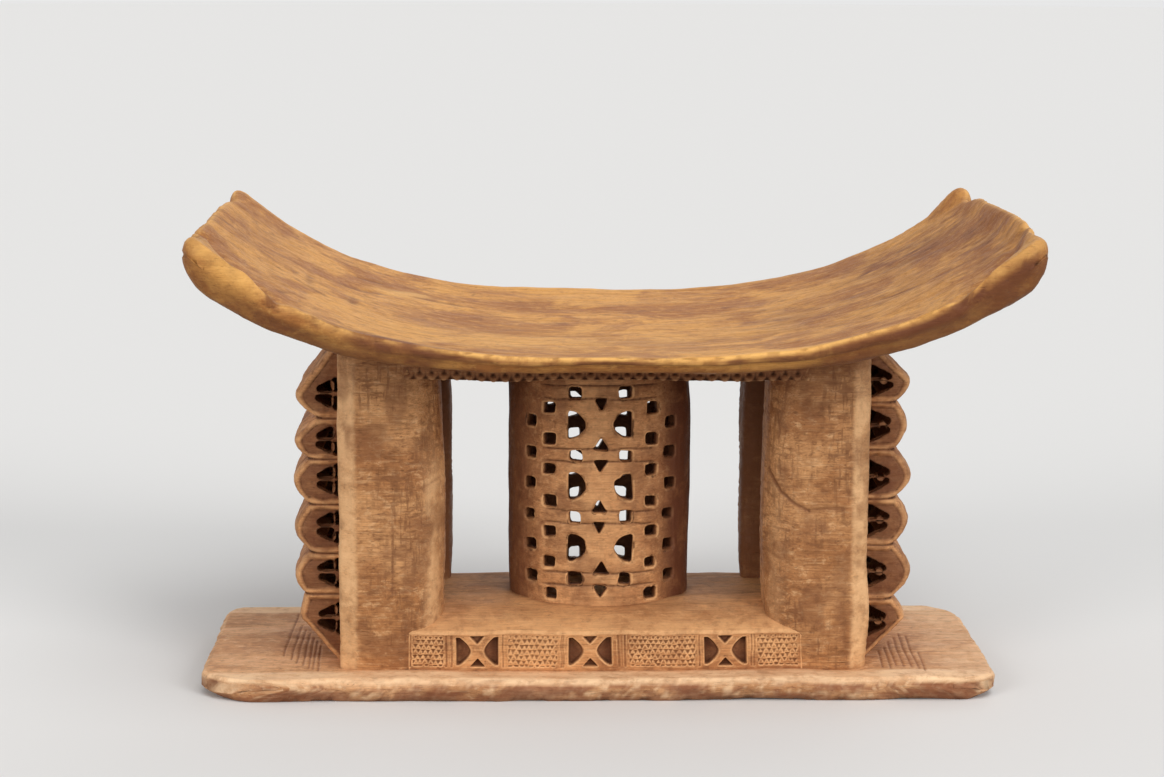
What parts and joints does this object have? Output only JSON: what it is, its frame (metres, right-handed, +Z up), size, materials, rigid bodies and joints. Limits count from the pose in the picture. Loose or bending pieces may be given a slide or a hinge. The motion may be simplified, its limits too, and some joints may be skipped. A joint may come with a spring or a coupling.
{
  "type": "carved wooden stool",
  "caption": "Low carved wooden stool: crescent seat on corner pillars, a pierced hollow column and bowed pierced side screens, over a plinth and a flat base plate.",
  "frame": {"origin": "on the ground, under the middle of the stool's overall box", "axes": "+X along the length of the seat, +Y from front to back, +Z up"},
  "size_m": [0.518, 0.295, 0.2982],
  "materials": {
    "seat_wood": "worn smooth by use, low sheen, long grain",
    "carved_wood": "knife-cut, matt, darker in the recesses",
    "pillar_wood": "rasped across the grain, satin on the arrises",
    "base_wood": "rubbed and chipped at the edges, matt"
  },
  "bodies": {
    "root": {"base_plate": "base_wood", "plinth": "carved_wood", "pillar_front_left": "pillar_wood", "pillar_front_right": "pillar_wood", "pillar_rear_left": "pillar_wood", "pillar_rear_right": "pillar_wood", "central_column": "carved_wood", "side_screen_left": "carved_wood", "side_screen_right": "carved_wood", "under_seat_block": "carved_wood", "seat": "seat_wood"}
  },
  "joints": []
}
